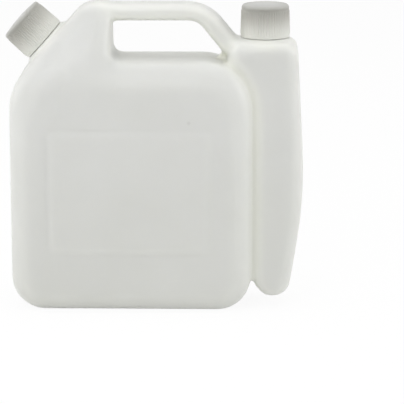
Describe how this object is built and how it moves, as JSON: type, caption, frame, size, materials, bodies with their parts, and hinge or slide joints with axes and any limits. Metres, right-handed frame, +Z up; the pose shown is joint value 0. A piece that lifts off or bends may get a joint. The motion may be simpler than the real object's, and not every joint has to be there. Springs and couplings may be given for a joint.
{
  "type": "fuel mixing bottle",
  "caption": "Two-chamber blown bottle for mixing two-stroke fuel: flat tank with slanted spout, hollow grip handle and narrow oil chamber, each with a screw cap.",
  "frame": {"origin": "on the ground under the middle of the whole part's box", "axes": "+X from the fuel tank to the oil chamber, +Y from the front face to the back, +Z up"},
  "size_m": [0.2067, 0.0714, 0.2137],
  "materials": {
    "natural_polyethylene": "translucent natural, satin",
    "cap_plastic": "translucent natural, satin, finely ribbed",
    "liner_foam": "matt foam"
  },
  "bodies": {
    "bottle": {"bottle": "natural_polyethylene"},
    "fuel_cap_seal": {"fuel_cap_liner": "liner_foam"},
    "fuel_cap": {"fuel_cap": "cap_plastic"},
    "oil_cap_seal": {"oil_cap_liner": "liner_foam"},
    "oil_cap": {"oil_cap": "cap_plastic"}
  },
  "joints": [
    {"name": "fuel_cap_lift", "type": "slide", "parent": "bottle", "child": "fuel_cap_seal", "axis": [-0.7431, 0, 0.6691], "range_m": [0, 0.02521]},
    {"name": "fuel_cap_turn", "type": "hinge", "parent": "fuel_cap_seal", "child": "fuel_cap", "pos_m": [-0.07576, 0, 0.18751], "axis": [-0.7431, 0, 0.6691], "range_deg": [0, 2160]},
    {"name": "oil_cap_lift", "type": "slide", "parent": "bottle", "child": "oil_cap_seal", "axis": [0, 0, 1], "range_m": [0, 0.02521]},
    {"name": "oil_cap_turn", "type": "hinge", "parent": "oil_cap_seal", "child": "oil_cap", "pos_m": [0.07831, 0, 0.1901], "axis": [0, 0, 1], "range_deg": [0, 2160]}
  ],
  "couplings": [
    {"joint": "fuel_cap_lift", "follows": "fuel_cap_turn", "m_per_rad": 0.00066845},
    {"joint": "oil_cap_lift", "follows": "oil_cap_turn", "m_per_rad": 0.00066845}
  ]
}
